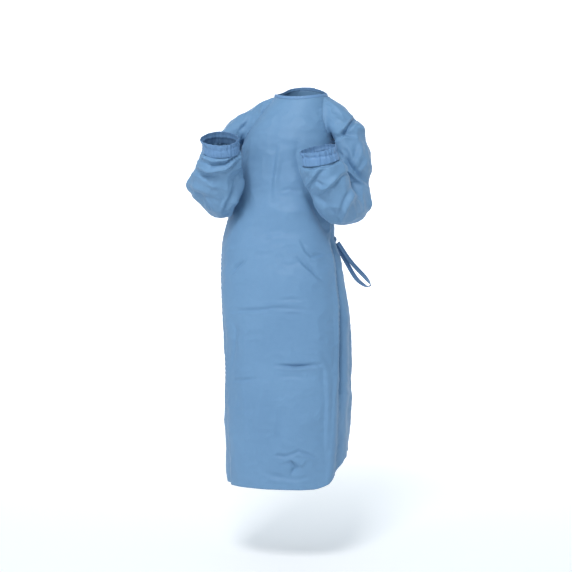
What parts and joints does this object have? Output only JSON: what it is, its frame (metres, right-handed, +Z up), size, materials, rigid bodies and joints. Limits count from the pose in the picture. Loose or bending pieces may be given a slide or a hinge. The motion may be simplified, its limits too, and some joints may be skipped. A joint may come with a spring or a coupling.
{
  "type": "surgical gown",
  "caption": "Long-sleeved surgical gown, standing open as worn with its forearms raised: raglan sleeves, gathered cuffs, bound neck, wrapped back and a waist tie.",
  "frame": {"origin": "middle of the neck opening, where a wearer's neck and shoulders hold the gown up", "axes": "+Z up, -Y the way the front of the gown faces, +X the gown's own left side"},
  "size_m": [0.5531, 0.456, 1.2212],
  "materials": {
    "gown_cloth": "matt nonwoven with a soft sheen",
    "gown_trim": "matt nonwoven, folded and stitched"
  },
  "bodies": {
    "root": {"front_panel": "gown_cloth", "back_panel_right": "gown_cloth", "back_panel_left": "gown_cloth", "sleeve_left": "gown_cloth", "sleeve_right": "gown_cloth", "cuff_left": "gown_trim", "cuff_right": "gown_trim", "neck_binding": "gown_trim", "neck_tab": "gown_trim", "tie_front": "gown_trim", "tie_back": "gown_trim", "tie_knot": "gown_trim", "tie_loop": "gown_trim", "tie_tail_1": "gown_trim", "tie_tail_2": "gown_trim"}
  },
  "joints": []
}
